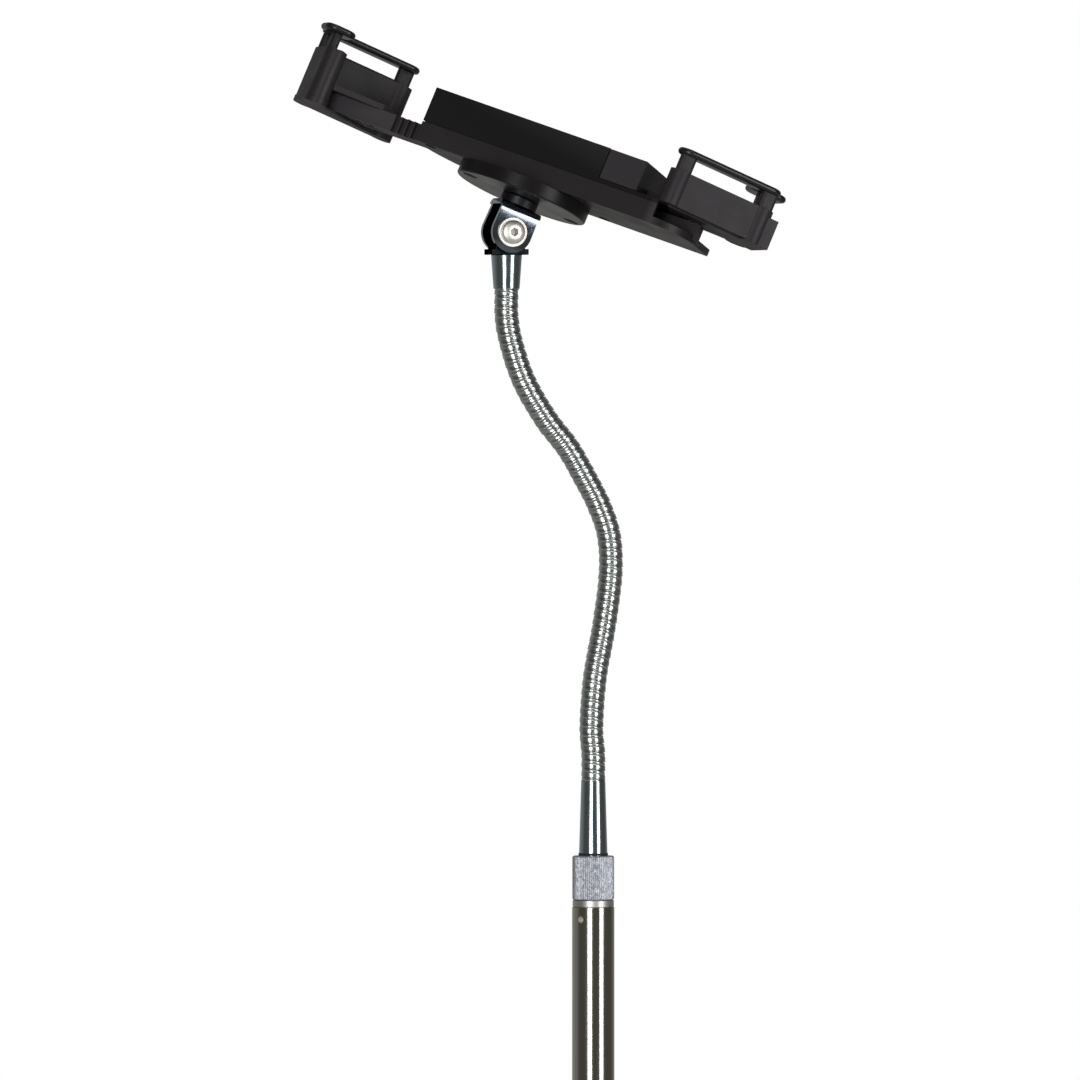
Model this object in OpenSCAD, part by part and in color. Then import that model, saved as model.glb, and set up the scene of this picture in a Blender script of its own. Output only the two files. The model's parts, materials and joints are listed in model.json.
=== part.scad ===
// Tablet floor stand: weighted base, telescopic pole, gooseneck, tilting knuckle
// and a diagonal holder whose two corner jaws slide on arms.

/* [Base] */
// Diameter of the round base
base_d = 304; // [240:2:360]
// Thickness of the cast weight
weight_t = 12; // [10:0.5:20]
// Thickness of the base cover's sheet
cover_t = 1.2; // [0.8:0.1:2]
// Radius of the cover's rounded rim
rim_r = 9; // [4:0.5:10]
// Height of the rubber feet
foot_h = 3; // [2:0.5:6]
// Diameter of a rubber foot
foot_d = 20; // [12:1:30]
// Number of rubber feet
foot_count = 6; // [3:1:8]

/* [Pole] */
// Outside diameter of the upper tube
upper_d = 22.2; // [19:0.1:28]
// Wall of both tubes
tube_wall = 1.2; // [0.8:0.1:1.5]
// Radial room between the two tubes
tube_gap = 0.4; // [0.3:0.05:0.8]
// Length of the lower tube
lower_len = 462; // [320:2:600]
// Length of the upper tube
upper_len = 480; // [340:2:600]
// Length of upper tube that stands out of the lower one
exposed = 280; // [140:2:320]

/* [Twist lock] */
// Outside diameter of the turning collar
lock_d = 37; // [34:0.5:46]
// Height of the turning collar
lock_h = 58; // [50:1:80]

/* [Coupling] */
// Diameter of the knurled collar
collar_d = 22; // [20:0.2:28]
// Height of the knurled collar
collar_h = 23; // [18:0.5:30]
// Height of the bright shoulder under it
shoulder_h = 3.6; // [2:0.2:6]
// Diameter of the threaded stud inside it
stud_d = 14; // [10:0.5:15]

/* [Neck] */
// Outside diameter of the gooseneck
neck_d = 12.7; // [10:0.1:16]
// Depth of the groove between two ribs
rib_depth = 0.45; // [0.3:0.05:1.2]
// Spacing of the ribs along the neck
rib_pitch = 4.8; // [4:0.1:8]
// Diameter of the neck's bore
neck_bore = 8; // [6:0.1:9]
// Length of the lower ferrule's cone
low_ferrule_h = 37.7; // [20:0.1:50]
// Largest diameter of the lower ferrule
low_ferrule_d = 14.9; // [13:0.1:18]
// Height of the upper ferrule
top_ferrule_h = 17.8; // [10:0.1:30]
// Largest diameter of the upper ferrule
top_ferrule_d = 16.2; // [14:0.1:20]

/* [Knuckle] */
// Tilt of the holder about the knuckle's pin
tilt = 23.4; // [0:0.1:40]
// Width of the clevis across its cheeks
clevis_w = 21.4; // [18:0.2:28]
// Thickness of the clevis sheet
clevis_t = 3; // [2:0.1:4]
// Length of the clevis web
web_l = 23; // [18:0.5:30]
// Radius of the round end of each cheek
cheek_r = 10.8; // [8:0.2:11.2]
// Height of the web's underside over the pin
web_rise = 11.5; // [10.5:0.1:16]
// Height of the pin over the upper ferrule
pin_rise = 11.8; // [11.8:0.1:18]
// Diameter of the pivot bolt
pin_d = 6; // [5:0.5:8]
// Diameter of the pivot washers
washer_d = 15.6; // [12:0.2:18]

/* [Swivel] */
// Diameter of the swivel post
post_d = 20; // [14:0.5:22]
// Height of the post between the clevis and the disc
post_h = 4.5; // [3:0.1:10]
// Diameter of the mounting disc
disc_d = 72; // [66:1:90]
// Thickness of the mounting disc
disc_t = 7.3; // [6.5:0.1:10]

/* [Housing] */
// Turn of the arms from the tablet's long side
arm_angle = 38; // [30:1:45]
// Length of the housing
shell_l = 158; // [148:1:172]
// Distance from the swivel axis to the housing's left end
shell_left = 58; // [52:1:64]
// Width of the housing
shell_w = 48; // [46:0.5:56]
// Radius of the housing's swept left corner
swept_r = 44; // [30:1:45]
// Radius of the tongue's swept corner at the right
tongue_r = 23; // [12:1:30]
// Height of the lower shell
lower_h = 11.4; // [11.4:0.1:14]
// Height of the upper shell
upper_h = 18.6; // [17:0.1:24]
// Where the upper shell ends and the right arm shows
split_e = 46; // [42:1:52]
// Where the shell walls end and only the tongue goes on
wall_end_e = 82; // [80:0.5:83]

/* [Arms] */
// Width of the toothed left arm
rack_w = 16; // [14:0.5:18]
// Height of the toothed left arm
rack_h = 9.1; // [7:0.1:9.3]
// Reach of the left arm from the swivel axis
rack_reach = 117; // [114:1:118]
// Length of the left arm
rack_l = 218; // [195:1:220]
// Spacing of the rack's teeth
tooth_pitch = 3.9; // [3:0.1:6]
// Depth of the rack's teeth
tooth_h = 1.8; // [1:0.1:2.5]
// Reach of the right arm from the swivel axis
right_reach = 100; // [98:1:102]

/* [Jaws] */
// Thickness of the jaw walls
jaw_t = 12; // [11:0.5:14]
// Length of the left jaw's long wall
left_long_l = 57; // [52:1:64]
// Length of the right jaw's long wall
right_long_l = 60; // [54:1:61]
// Length of the left jaw's short wall
left_short_l = 32; // [31:1:40]
// Length of the right jaw's short wall
right_short_l = 34; // [31:1:40]
// Depth by which a wall's panel lies back from its round columns
panel_in = 1.2; // [0.5:0.1:2]
// Left jaw: distance of its short wall from the swivel axis
left_p = 115; // [114:1:125]
// Left jaw: distance of its long wall from the swivel axis
left_q = 78; // [78:1:92]
// Right jaw: distance of its short wall from the swivel axis
right_p = 108; // [107:1:118]
// Right jaw: distance of its long wall from the swivel axis
right_q = 81; // [81:1:95]
// Room under the lips for the tablet
slot_h = 8.4; // [6:0.1:12]
// Thickness of the lip bars
lip_t = 3.5; // [2.5:0.1:5]
// Width of the lip bars
lip_w = 13; // [11:0.5:14]
// How far the left short lip stands out past its wall
left_lip_out = 5; // [0:0.5:7]
// How far the right short lip stands out past its wall
right_lip_out = 7.5; // [0:0.5:9]

/* [Hidden] */
$fn = 64;

// Clearances: a running fit, a loose pass, and the room between moving pieces
run = 0.05;
loose = 0.1;
room = 0.3;
eps = 0.01;

// Heights up the pole
weight_z = foot_h;
cover_z = weight_z + weight_t;
floor_z = cover_z + cover_t;
lower_top = floor_z + lower_len;
pole_top = lower_top + exposed;
upper_bottom = pole_top - upper_len;
upper_r = upper_d / 2;
bore_r = upper_r - tube_wall;
lower_bore_r = upper_r + tube_gap;
lower_r = lower_bore_r + tube_wall;

// Base bolt
bolt_d = 10;
bolt_head_h = 4.2;
bolt_washer_d = 24;
bolt_washer_t = 1.6;
bolt_pocket_h = 7;
bolt_reach = 20;
foot_ring_r = base_d / 2 - foot_d / 2 - rim_r - cover_t;

// Twist lock
sleeve_wall = 2.6;
sleeve_r = lower_r + loose + sleeve_wall;
sleeve_h = 36;
bush_wall = 2.4;
bush_h = 14;
bush_flange_h = 3;
lock_lap = 40;
lock_z = lower_top - lock_lap;
flute_count = 12;
flute_r = 2.2;

// Coupling on top of the pole
collar_z = pole_top + shoulder_h + room;
flange_z = collar_z + collar_h - 7.2;
flange_h = 2.8;
collar_lip = 3.9;
ring_t = 1.2;
neck_stem_r = low_ferrule_d / 2 - 0.9;
cone_z = collar_z + collar_h + room + ring_t;
neck_z = cone_z + low_ferrule_h;
plug_len = 28;
grub_d = 3.5;
grub_drop = 6.3;
grub_angle = -54;

// Gooseneck route: sideways and upwards from the lower ferrule
route = [[0, 0], [0, 14], [-1, 29], [1, 55], [6, 82], [9.5, 109], [8.5, 129], [3, 145], [-5, 160],
  [-14, 175], [-26, 190], [-38, 210], [-45, 230], [-47.5, 244], [-47.5, 258]];
route_steps = 8;
neck_sides = 8;
head_x = route[len(route) - 1][0];
neck_end_z = neck_z + route[len(route) - 1][1];
pin_z = neck_end_z + top_ferrule_h + pin_rise;

// Heights over the pin, square to the tilted holder
web_top = web_rise + clevis_t;
disc_low = web_top + post_h + room;
deck = disc_low + disc_t;
lug_t = clevis_w - 2 * clevis_t - 2 * room;
lug_r = cheek_r - 0.5;

// Housing heights over its underside
shell_floor = 1.3;
shell_wall = 2;
reveal = 0.9;
reveal_h = 0.6;
deck_floor = 1.8;
roof_t = 2.4;
tongue_h = 3.7;
shell_top = lower_h + upper_h;
bay_z = lower_h + deck_floor;
bay_top = shell_top - roof_t;
bay_w = shell_w - 11.6;
shell_right = shell_l - shell_left;
screw_f = shell_w / 2 - 4;
shell_screw_at = [[-50, -screw_f], [40, -screw_f], [-4, screw_f], [40, screw_f]];
disc_screw_r = 30;

// Arms
rack_z = shell_floor + 0.2;
rack_top = rack_z + rack_h;
rack_f = -5.4;
tail_e = 60;
tail_f = -4;
arm_slot = rack_w + 2 * room;
tongue_w = 18;
tongue_f = 1;
tongue_t = 4.6;
arm_head_e = split_e + room;
arm_head_end = 68;
slide_start = 0;
spring_post_e = -46;
spring_post_r = 2.5;
spring_r = 3.1;
spring_wire = 0.45;
spring_turns = 12;

// Jaws
ledge_z = shell_top + 0.5;
lip_z = ledge_z + slot_h;
plate_t = 2.4;
left_plate_z = rack_top;
right_plate_z = bay_z + room - plate_t;
right_wall_z = lower_h + 0.6;
bumper_t = 3.5;
bumper_top = shell_top - 3;
lip_post_l = 9;
lip_post_t = 5;
lip_back = 0.6;
lip_corner_r = 6;
peg_r = 1.6;
peg_h = 2;
pad_t = 0.8;
plate_reach = 17;
left_plate_reach = 31;
plinth_out = 0.4;
plinth_h = 3;
jaw_screw_d = 3.4;
jaw_screw_gap = 8;

// Places
module at_head() { translate([head_x, 0, pin_z]) rotate([0, tilt, 0]) children(); }
module at_holder() { at_head() translate([0, 0, deck]) rotate([0, 0, -arm_angle]) children(); }
module at_jaws() { at_holder() rotate([0, 0, arm_angle]) children(); }

// Point of the jaw frame for a point of the arm frame
function to_jaw(e, f) = [e * cos(arm_angle) + f * sin(arm_angle), f * cos(arm_angle) - e * sin(arm_angle)];

// Ring with its own bore
module ring(r_out, r_in, h) {
  difference() {
    cylinder(r = r_out, h = h);
    translate([0, 0, -eps]) cylinder(r = r_in, h = h + 2 * eps);
  }
}

// Hexagon prism by its width across flats
module hex(flats, h) { cylinder(d = flats / cos(30), h = h, $fn = 6); }

// Screw pointing up: round head from z = 0, then its shank
module screw(head_r, head_h, shank_r, shank_l) {
  socket = head_r * 0.9;
  difference() {
    union() {
      cylinder(r = head_r, h = head_h);
      cylinder(r = shank_r, h = head_h + shank_l);
    }
    translate([0, 0, -eps]) hex(socket, head_h * 0.55);
  }
}

// Bar in plan with round ends, from the origin along x
module stadium(l, w) {
  translate([0, -w / 2]) square([l, w]);
  circle(d = w);
  translate([l, 0]) circle(d = w);
}

// Housing outline: two swept corners opposite each other, two square ones
module shell_plan(inset) {
  l = shell_l - 2 * inset;
  w = shell_w - 2 * inset;
  left_r = swept_r - inset;
  right_r = tongue_r - inset;
  translate([-shell_left + inset, -w / 2]) difference() {
    square([l, w]);
    translate([l - right_r, right_r]) rotate(-90) corner_waste(right_r);
    translate([left_r, w - left_r]) rotate(90) corner_waste(left_r);
  }
}

// What a round corner takes off a square one
module corner_waste(r) {
  difference() {
    square(r + 1);
    circle(r, $fn = 96);
  }
}

// Base
module base_feet() {
  color("#1b1b1c") for (i = [0 : foot_count - 1]) rotate(i * 360 / foot_count)
    translate([foot_ring_r, 0, 0]) rotate_extrude() polygon([[0, 0], [foot_d / 2 - 1, 0],
      [foot_d / 2, foot_h], [0, foot_h]]);
}

module base_weight() {
  r = base_d / 2 - cover_t - room;
  color("#3a3b3d") translate([0, 0, weight_z]) difference() {
    rotate_extrude($fn = 96) polygon([[0, 0], [r - 2, 0], [r, 2], [r, weight_t - rim_r],
      [r - rim_r, weight_t], [0, weight_t]]);
    translate([0, 0, -eps]) cylinder(d = bolt_washer_d + 2, h = bolt_pocket_h + eps);
    cylinder(d = bolt_d + 2 * loose, h = weight_t + eps);
  }
}

// Half profile of the cover: flat top, round rim, short skirt
module cover_profile(inset) {
  r = base_d / 2 - inset;
  top = floor_z - inset;
  arc = rim_r - inset;
  polygon(concat([[0, weight_z], [r, weight_z]],
    [for (a = [0 : 15 : 90]) [r - arc + arc * cos(a), top - arc + arc * sin(a)]], [[0, top]]));
}

module base_cover() {
  color("#232427") difference() {
    rotate_extrude($fn = 96) cover_profile(0);
    rotate_extrude($fn = 96) difference() {
      cover_profile(cover_t);
      translate([0, cover_z]) square([base_d, cover_t]);
    }
    translate([0, 0, weight_z - 1]) cylinder(d = base_d - 2 * cover_t - 2 * rim_r, h = weight_t + 1);
    cylinder(d = bolt_d + 2 * loose, h = floor_z + 1);
  }
}

module base_washer() {
  color("#9a9c9f") translate([0, 0, weight_z + bolt_pocket_h - bolt_washer_t])
    ring(bolt_washer_d / 2, bolt_d / 2 + loose, bolt_washer_t);
}

module base_bolt() {
  seat = weight_z + bolt_pocket_h - bolt_washer_t;
  color("#8d8f92") translate([0, 0, seat]) {
    translate([0, 0, -bolt_head_h]) hex(16, bolt_head_h);
    cylinder(d = bolt_d, h = floor_z - seat + bolt_reach);
  }
}

module tube_plug() {
  color("#7d8084") translate([0, 0, floor_z])
    ring(lower_bore_r - run, bolt_d / 2 + run, bolt_reach + 6);
}

// Pole
module lower_tube() {
  color("#c9cbce") translate([0, 0, floor_z]) ring(lower_r, lower_bore_r, lower_len);
}

module lock_sleeve() {
  color("#202123") translate([0, 0, lower_top - sleeve_h - 2])
    ring(sleeve_r, lower_r + run, sleeve_h);
}

module clutch_bush() {
  in_r = upper_r + run;
  out_r = in_r + bush_wall;
  slit = 1.2;
  color("#d8d6cf") translate([0, 0, lower_top]) difference() {
    rotate_extrude() polygon([[in_r, 0], [out_r + 0.4, 0], [out_r + 0.4, bush_flange_h],
      [out_r, bush_flange_h], [out_r - 1.2, bush_h], [in_r, bush_h]]);
    for (a = [45, 135]) rotate(a)
      translate([-2 * out_r, -slit / 2, bush_flange_h + 1]) cube([4 * out_r, slit, bush_h]);
  }
}

module lock_collar() {
  out_r = lock_d / 2;
  skirt_r = sleeve_r + room;
  cone_r = upper_r + run + bush_wall + room;
  cone_z0 = lock_lap + bush_flange_h + room;
  cone_z1 = lock_lap + bush_h + room;
  pass_r = upper_r + 0.5;
  edge = 1.5;
  color("#18191b") translate([0, 0, lock_z]) difference() {
    rotate_extrude() polygon([[skirt_r, 0], [out_r - edge, 0], [out_r, edge], [out_r, lock_h - 3 * edge],
      [out_r - 2 * edge, lock_h], [pass_r, lock_h], [pass_r, cone_z1], [cone_r - 1.2, cone_z1],
      [cone_r, cone_z0], [cone_r + 0.4, cone_z0], [skirt_r, cone_z0 - 0.6]]);
    for (i = [0 : flute_count - 1]) rotate(i * 360 / flute_count)
      translate([out_r + flute_r * 0.55, 0, -eps]) cylinder(r = flute_r, h = lock_h - 8 * edge);
  }
}

module guide_bush() {
  collar_len = 18;
  color("#d8d6cf") translate([0, 0, upper_bottom]) {
    translate([0, 0, -collar_len]) cylinder(r = lower_bore_r - run, h = collar_len);
    cylinder(r = bore_r - run, h = 20);
  }
}

module upper_tube() {
  color("#d5d7da") difference() {
    translate([0, 0, upper_bottom]) ring(upper_r, bore_r, upper_len);
    at_grub() cylinder(d = grub_d + 2 * run, h = upper_d);
  }
}

// Axis of the grub screw: the pole's own axis to its near left side
module at_grub() {
  translate([0, 0, pole_top - grub_drop]) rotate([0, 0, grub_angle]) rotate([90, 0, 0]) children();
}

module plug_screw() {
  color("#6f7275") at_grub() translate([0, 0, upper_r - 5.4]) difference() {
    cylinder(d = grub_d, h = 5.1);
    translate([0, 0, 3.4]) hex(1.8, 2);
  }
}

module pole_plug() {
  chamfer = 0.5;
  r = collar_d / 2 - 0.15;
  stem = flange_z - room - (pole_top + shoulder_h);
  color("#cfd1d4") difference() {
    translate([0, 0, pole_top]) rotate_extrude() polygon([[0, -plug_len], [bore_r - run, -plug_len],
      [bore_r - run, 0], [r - chamfer, 0], [r, chamfer], [r, shoulder_h], [stud_d / 2, shoulder_h],
      [stud_d / 2, shoulder_h + stem], [0, shoulder_h + stem]]);
    at_grub() translate([0, 0, upper_r - 5.4]) cylinder(d = grub_d + 2 * run, h = upper_d);
  }
}

module knurled_collar() {
  r = collar_d / 2;
  chamfer = 0.6;
  lip_r = neck_stem_r + room;
  low = flange_z - room - collar_z;
  color("#b9bbbe") translate([0, 0, collar_z]) rotate_extrude() polygon([[stud_d / 2 + run, 0],
    [r - chamfer, 0], [r, chamfer], [r, collar_h - chamfer], [r - chamfer, collar_h], [lip_r, collar_h],
    [lip_r, collar_h - collar_lip], [low_ferrule_d / 2 + 1.3, collar_h - collar_lip],
    [low_ferrule_d / 2 + 1.3, low], [stud_d / 2 + run, low]]);
}

module collar_ring() {
  color("#1d1d1f") translate([0, 0, cone_z - ring_t])
    ring(low_ferrule_d / 2 + 0.3, neck_stem_r + run, ring_t);
}

// Neck
module lower_ferrule() {
  spigot = 12;
  r = low_ferrule_d / 2;
  flange_r = r + 1.3 - room;
  color("#c4c6c9") translate([0, 0, flange_z]) rotate_extrude() polygon([[0, 0], [flange_r, 0],
    [flange_r, flange_h], [neck_stem_r, flange_h], [neck_stem_r, cone_z - flange_z],
    [r, cone_z - flange_z], [neck_d / 2, neck_z - flange_z], [spigot_r, neck_z - flange_z],
    [spigot_r, neck_z - flange_z + spigot], [0, neck_z - flange_z + spigot]]);
}

spigot_r = neck_bore / 2 * cos(180 / neck_sides) - loose;

// Smooth curve through the route, measured along itself
function curve(a, b, c, d, t) = 0.5 * (2 * b + (c - a) * t + (2 * a - 5 * b + 4 * c - d) * t * t
  + (3 * b - a - 3 * c + d) * t * t * t);
function route_at(i) = i < 0 ? 2 * route[0] - route[1]
  : i >= len(route) ? 2 * route[len(route) - 1] - route[len(route) - 2] : route[i];
fine = concat([for (i = [0 : len(route) - 2]) for (k = [0 : route_steps - 1])
  curve(route_at(i - 1), route_at(i), route_at(i + 1), route_at(i + 2), k / route_steps)],
  [route[len(route) - 1]]);
function run_to(i, s) = i >= len(fine) ? s
  : run_to(i + 1, concat(s, [s[i - 1] + norm(fine[i] - fine[i - 1])]));
along = run_to(1, [0]);
neck_len = along[len(along) - 1];
x_of = [for (i = [0 : len(fine) - 1]) [along[i], fine[i][0]]];
z_of = [for (i = [0 : len(fine) - 1]) [along[i], fine[i][1]]];
rib_count = round(neck_len / rib_pitch);
function neck_at(s) = [lookup(s, x_of), 0, lookup(s, z_of)];
function neck_dir(s) = let (d = neck_at(min(s + 1, neck_len)) - neck_at(max(s - 1, 0))) d / norm(d);
function neck_ring(s, r) = let (t = neck_dir(s), c = neck_at(s))
  [for (k = [0 : neck_sides - 1]) let (a = (k + 0.5) * 360 / neck_sides)
    c + r * [cos(a) * t[2], sin(a), -cos(a) * t[0]]];

// Two rings to a rib, crest and groove, and a plain bore inside
module gooseneck() {
  m = 2 * rib_count;
  n = neck_sides;
  outer = [for (j = [0 : m]) each neck_ring(j * neck_len / m, neck_d / 2 - (j % 2 == 0 ? rib_depth : 0))];
  inner = [for (j = [0 : m]) each neck_ring(j * neck_len / m, neck_bore / 2)];
  first = (m + 1) * n;
  walls = [for (j = [0 : m - 1]) for (k = [0 : n - 1]) let (a = j * n + k, b = j * n + (k + 1) % n)
    each [[a, b, a + n], [b, b + n, a + n]]];
  bores = [for (j = [0 : m - 1]) for (k = [0 : n - 1])
    let (a = first + j * n + k, b = first + j * n + (k + 1) % n) each [[a, a + n, b], [b, a + n, b + n]]];
  ends = [for (j = [0, m]) for (k = [0 : n - 1]) let (a = j * n + k, b = j * n + (k + 1) % n)
    each (j == 0 ? [[a, first + a, b], [b, first + a, first + b]]
      : [[a, b, first + a], [b, first + b, first + a]])];
  color("#a9abae") translate([0, 0, neck_z]) polyhedron(concat(outer, inner), concat(walls, bores, ends));
}

module upper_ferrule() {
  spigot = 10;
  color("#c4c6c9") translate([head_x, 0, neck_end_z]) difference() {
    rotate_extrude() polygon([[0, -spigot], [spigot_r, -spigot], [spigot_r, 0], [neck_d / 2 + 0.5, 0],
      [top_ferrule_d / 2, top_ferrule_h], [0, top_ferrule_h]]);
    translate([0, 0, top_ferrule_h - 9]) cylinder(r = 4 + run, h = 10);
  }
}

// Knuckle
module knuckle_lug() {
  base_h = 3;
  base_l = 20;
  color("#bfc1c4") translate([head_x, 0, pin_z]) difference() {
    union() {
      translate([-base_l / 2, -lug_t / 2, -pin_rise]) cube([base_l, lug_t, base_h]);
      rotate([90, 0, 0]) linear_extrude(lug_t, center = true) {
        circle(lug_r);
        translate([2 - base_l / 2, -pin_rise]) square([base_l - 4, pin_rise]);
      }
      translate([0, 0, -pin_rise - 8]) cylinder(r = 4, h = 9);
    }
    rotate([90, 0, 0]) cylinder(d = pin_d + 2 * run, h = clevis_w * 2, center = true);
  }
}

// Folded sheet: the U seen along the tilt axis, cut to the cheeks' outline
module clevis() {
  bend_r = clevis_t + 0.5;
  half = clevis_w / 2;
  color("#d3d5d8") at_head() difference() {
    intersection() {
      rotate([90, 0, 90]) linear_extrude(web_l, center = true) difference() {
        translate([-half, -cheek_r]) square([clevis_w, cheek_r + web_top]);
        translate([-half + clevis_t, -cheek_r - 1]) square([clevis_w - 2 * clevis_t, cheek_r + 1 + web_rise]);
        translate([half - bend_r, web_top - bend_r]) corner_waste(bend_r);
        translate([-half + bend_r, web_top - bend_r]) rotate(90) corner_waste(bend_r);
      }
      rotate([90, 0, 0]) linear_extrude(clevis_w + 2, center = true) {
        circle(cheek_r);
        polygon([[-cheek_r, 0], [cheek_r, 0], [web_l / 2 - 1, web_rise], [web_l / 2, web_rise],
          [web_l / 2, web_top + 1], [-web_l / 2, web_top + 1], [-web_l / 2, web_rise],
          [1 - web_l / 2, web_rise]]);
      }
    }
    rotate([90, 0, 0]) cylinder(d = pin_d + 2 * run, h = clevis_w * 2, center = true);
    translate([0, 0, web_rise - eps]) cylinder(r1 = 5 + run, r2 = 2.5 + run, h = 2.5);
    cylinder(r = 2.5 + run, h = web_top + 1);
  }
}

washer_t = 1.2;
bolt_face = clevis_w / 2 + washer_t;

module pivot_bolt() {
  head_r = 6.2;
  head_h = 2.8;
  color("#d7d9dc") at_head() rotate([90, 0, 0]) difference() {
    rotate_extrude() polygon([[0, -bolt_face - 7], [pin_d / 2, -bolt_face - 7], [pin_d / 2, bolt_face],
      [head_r, bolt_face], [head_r, bolt_face + head_h * 0.4], [head_r - 0.7, bolt_face + head_h * 0.7],
      [head_r - 2.2, bolt_face + head_h * 0.95], [head_r - 3, bolt_face + head_h],
      [0, bolt_face + head_h]]);
    translate([0, 0, bolt_face + 0.8]) hex(3.8, head_h);
  }
}

module pivot_washers() {
  color("#e0e2e4") at_head() rotate([90, 0, 0]) for (z = [clevis_w / 2, -bolt_face])
    translate([0, 0, z]) ring(washer_d / 2, pin_d / 2 + loose, washer_t);
}

module pivot_nut() {
  color("#b5b7ba") at_head() rotate([90, 0, 0]) translate([0, 0, -bolt_face - 5]) difference() {
    hex(10, 5);
    translate([0, 0, -1]) cylinder(d = pin_d + 2 * run, h = 7);
  }
}

// Swivel
module swivel_post() {
  journal = disc_t - 2.9 + room;
  color("#2a2b2d") at_head() translate([0, 0, web_top]) difference() {
    union() {
      cylinder(d = post_d, h = post_h);
      cylinder(r = 5, h = post_h + journal);
    }
    translate([0, 0, -eps]) cylinder(r = 2.5 + run, h = 3.2);
    translate([0, 0, post_h]) cylinder(r = 2.5 + run, h = journal + 1);
  }
}

module post_screw() {
  color("#8d8f92") at_head() translate([0, 0, web_rise]) difference() {
    union() {
      cylinder(r1 = 5, r2 = 2.5, h = 2.5);
      cylinder(r = 2.5, h = clevis_t + 3);
    }
    translate([0, 0, -eps]) hex(3, 1.5);
  }
}

module swivel_washer() {
  color("#9a9c9f") at_holder() translate([0, 0, -2.9]) ring(7.5, 2.5 + loose, 1);
}

module swivel_screw() {
  color("#8d8f92") at_holder() rotate([180, 0, 0]) translate([0, 0, 0.4]) screw(4.6, 1.5, 2.5, 5);
}

module mount_disc() {
  r = disc_d / 2;
  edge = 0.6;
  color("#2c2d2f") at_holder() difference() {
    translate([0, 0, -disc_t]) rotate_extrude($fn = 96) polygon([[5 + run, 0], [r - edge, 0], [r, edge],
      [r, disc_t], [8, disc_t], [8, disc_t - 3], [5 + run, disc_t - 3]]);
    disc_screw_places() {
      translate([0, 0, -disc_t - 1]) cylinder(r = 2 + loose, h = disc_t + 2);
      translate([0, 0, -disc_t - eps]) cylinder(r = 4, h = 2.8 + eps);
    }
  }
}

module disc_screw_places() {
  for (s = [-1, 1]) rotate(arm_angle) translate([s * disc_screw_r, 0, 0]) children();
}

module disc_screws() {
  color("#55585b") at_holder() disc_screw_places() translate([0, 0, -disc_t + 0.4])
    screw(3.8, 2.4, 2, disc_t + 4.6);
}

// Housing
module lower_shell() {
  color("#26272a") at_holder() difference() {
    union() {
      linear_extrude(shell_floor) shell_plan(0);
      linear_extrude(tongue_h) shell_rim(0);
      linear_extrude(lower_h - reveal_h) walled_part() shell_rim(0);
      linear_extrude(lower_h) walled_part() shell_rim(reveal);
      linear_extrude(lower_h) intersection() {
        shell_plan(reveal);
        for (at = shell_screw_at) translate(at) circle(4);
      }
      linear_extrude(lower_h) disc_screw_places() circle(3.5);
      linear_extrude(lower_h - 1) leaf_posts();
    }
    // The arm leaves at the left end and its tail at the right one
    translate([-shell_left - 1, rack_f - arm_slot / 2, shell_floor]) cube([10, arm_slot, lower_h]);
    translate([wall_end_e - 1, tail_f - room, shell_floor])
      cube([60, rack_f + rack_w / 2 - tail_f + 2 * room, lower_h]);
    for (at = shell_screw_at) translate([at[0], at[1], -eps]) {
      cylinder(r = 3.1, h = 2.8 + eps);
      cylinder(r = 1.5 + loose, h = lower_h + 1);
    }
    disc_screw_places() translate([0, 0, -eps]) cylinder(r = 2 + run, h = lower_h - 1.4);
  }
}

module shell_rim(inset) {
  difference() {
    shell_plan(inset);
    shell_plan(shell_wall);
  }
}

// The length of the housing that has full walls
module walled_part() {
  intersection() {
    children();
    translate([-shell_left - 1, -shell_w]) square([shell_left + 1 + wall_end_e, 2 * shell_w]);
  }
}

// Two posts that hold the click-stop leaf against the rack
leaf_e = [-8, 26];
leaf_t = 0.6;
leaf_f = rack_f - rack_w / 2 - 1.6;
module leaf_posts() {
  for (e = leaf_e) translate([e, leaf_f - leaf_t - 2 - run]) circle(2);
}

module upper_shell() {
  color("#202124") at_holder() difference() {
    translate([0, 0, lower_h]) linear_extrude(upper_h) shell_plan(0);
    translate([split_e, -shell_w, bay_z]) cube([shell_l, 2 * shell_w, shell_top]);
    translate([wall_end_e, -shell_w, lower_h - 1]) cube([shell_l, 2 * shell_w, shell_top]);
    difference() {
      translate([0, 0, bay_z]) linear_extrude(bay_top - bay_z) intersection() {
        shell_plan(shell_wall + 1);
        translate([-shell_left, -bay_w / 2]) square([shell_l, bay_w]);
      }
      translate([spring_post_e, 0, 0]) cylinder(r = spring_post_r, h = shell_top);
    }
    translate([0, -bay_w / 2, bay_z]) cube([split_e + 1, bay_w, bay_top - bay_z]);
    for (at = shell_screw_at) translate([at[0], at[1], lower_h - 1]) cylinder(r = 1.5 + run, h = 10);
  }
}

module shell_screws() {
  color("#55585b") at_holder() for (at = shell_screw_at) translate([at[0], at[1], 0.6])
    screw(2.8, 2.2, 1.5, lower_h + 4);
}

// Spring leaf whose nib drops into the rack's teeth
module detent_spring() {
  mid = nib_e;
  nib = tooth_h * 0.8;
  low = leaf_f - leaf_t;
  color("#b8bbbd") at_holder() translate([0, 0, rack_z + 2]) linear_extrude(5) polygon([[leaf_e[0] - 4, low],
    [leaf_e[1] + 4, low], [leaf_e[1] + 4, leaf_f], [mid + 2.4, leaf_f], [mid + 0.3, leaf_f + 1.6 + nib],
    [mid - 0.3, leaf_f + 1.6 + nib], [mid - 2.4, leaf_f], [leaf_e[0] - 4, leaf_f]]);
}

teeth_from = -78;
nib_e = teeth_from + tooth_pitch * (floor((9 - teeth_from) / tooth_pitch) + 0.5);

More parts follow.
